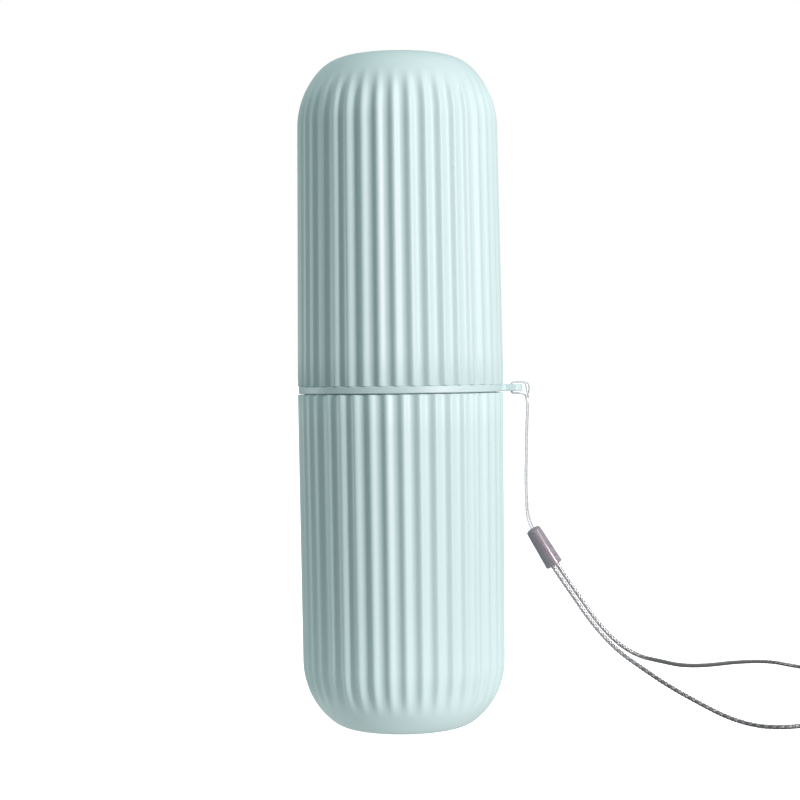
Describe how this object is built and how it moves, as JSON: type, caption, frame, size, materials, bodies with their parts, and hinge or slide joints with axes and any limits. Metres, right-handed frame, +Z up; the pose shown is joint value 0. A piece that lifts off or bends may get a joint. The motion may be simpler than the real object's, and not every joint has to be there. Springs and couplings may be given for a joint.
{
  "type": "toothbrush travel case",
  "caption": "Upright cylindrical travel case with fluted base and lid, domed ends, a strap ring at the seam and a wrist lanyard.",
  "frame": {"origin": "centre of the base's flat foot, where the case stands", "axes": "+Z up along the case's axis towards the lid, +X towards the strap ring's ear"},
  "size_m": [0.1844, 0.1305, 0.2025],
  "materials": {
    "case_plastic": "fine matte moulded polypropylene",
    "seal_silicone": "soft satin silicone",
    "sleeve_plastic": "glossy",
    "crimp_metal": "plated",
    "thread": "twisted nylon",
    "cord_braid": "braided nylon"
  },
  "bodies": {
    "base": {"base_shell": "case_plastic", "neck_collar": "case_plastic"},
    "seal": {"seal_ring": "seal_silicone"},
    "lid": {"lid_shell": "case_plastic"},
    "strap": {"strap_ring": "case_plastic", "tether_thread": "thread", "cord_sleeve": "sleeve_plastic", "cord_ferrule": "crimp_metal", "wrist_cord": "cord_braid"}
  },
  "joints": [
    {"name": "lid_twist", "type": "hinge", "parent": "base", "child": "seal", "pos_m": [0, 0, 0.11105], "axis": [0, 0, 1], "continuous": true},
    {"name": "lid_pull", "type": "slide", "parent": "seal", "child": "lid", "axis": [0, 0, 1], "range_m": [0, 0.1]},
    {"name": "strap_ring_turn", "type": "hinge", "parent": "base", "child": "strap", "pos_m": [0, 0, 0.10195], "axis": [0, 0, 1], "continuous": true}
  ]
}
